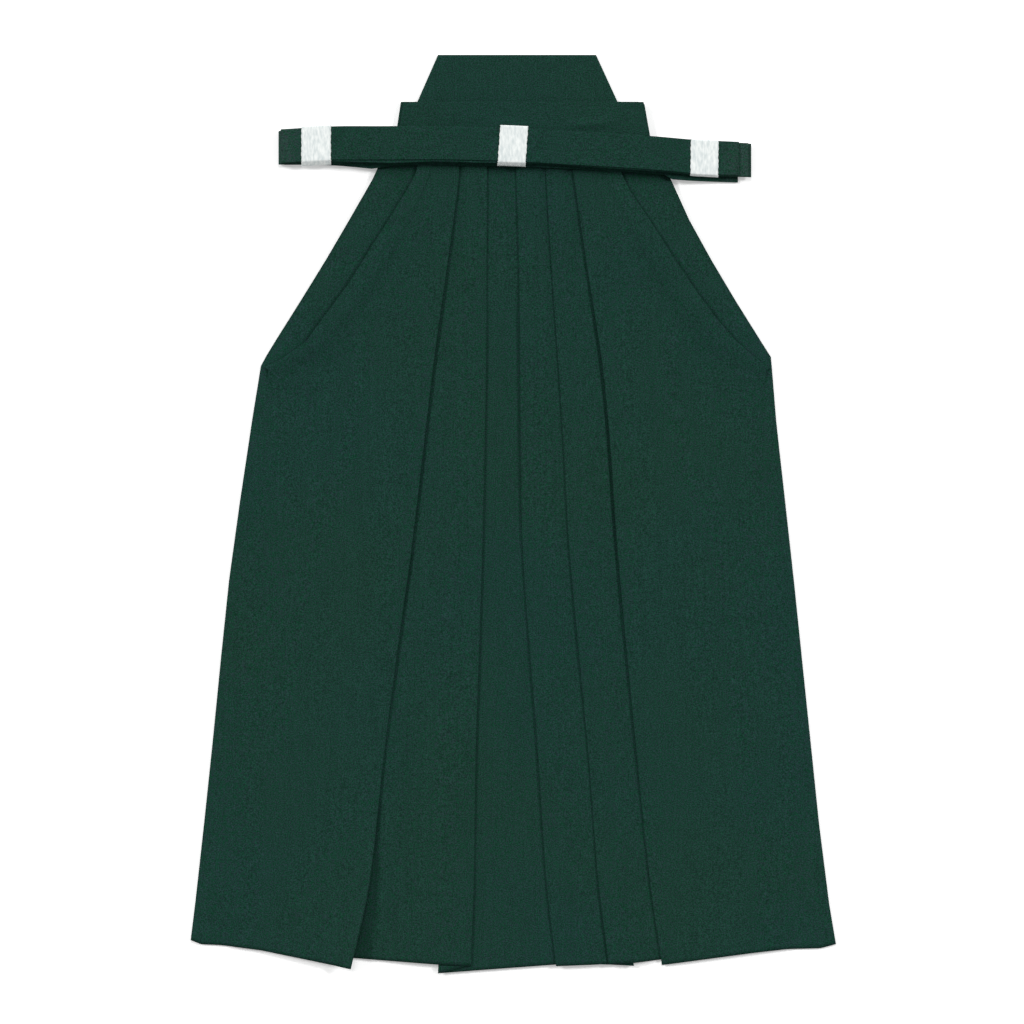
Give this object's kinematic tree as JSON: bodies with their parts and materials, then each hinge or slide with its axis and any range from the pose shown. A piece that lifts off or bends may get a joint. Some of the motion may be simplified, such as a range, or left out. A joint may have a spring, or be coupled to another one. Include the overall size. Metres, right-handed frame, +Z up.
{
  "type": "hakama trousers",
  "caption": "Pleated hakama trousers laid flat with the front up, with a stiff back board and long ties folded into a bundle at the waist.",
  "frame": {"origin": "centre of the garment's outline as it lies, on the surface that it rests on", "axes": "+X to the viewer's right, which is the wearer's left side; +Y from the hem up to the back board; +Z up from the surface, out of the garment's front"},
  "size_m": [0.7302, 1.0392, 0.0211],
  "materials": {
    "green_cloth": "matte dark green woven cloth",
    "white_paper": "matte plain white fibrous paper"
  },
  "bodies": {
    "root": {"back_right_leg": "green_cloth", "back_left_leg": "green_cloth", "front_right_leg": "green_cloth", "front_left_leg": "green_cloth", "back_board": "green_cloth", "back_tie_right": "green_cloth", "back_tie_left": "green_cloth", "front_tie": "green_cloth", "paper_band_right": "white_paper", "paper_band_centre": "white_paper", "paper_band_left": "white_paper"}
  },
  "joints": []
}
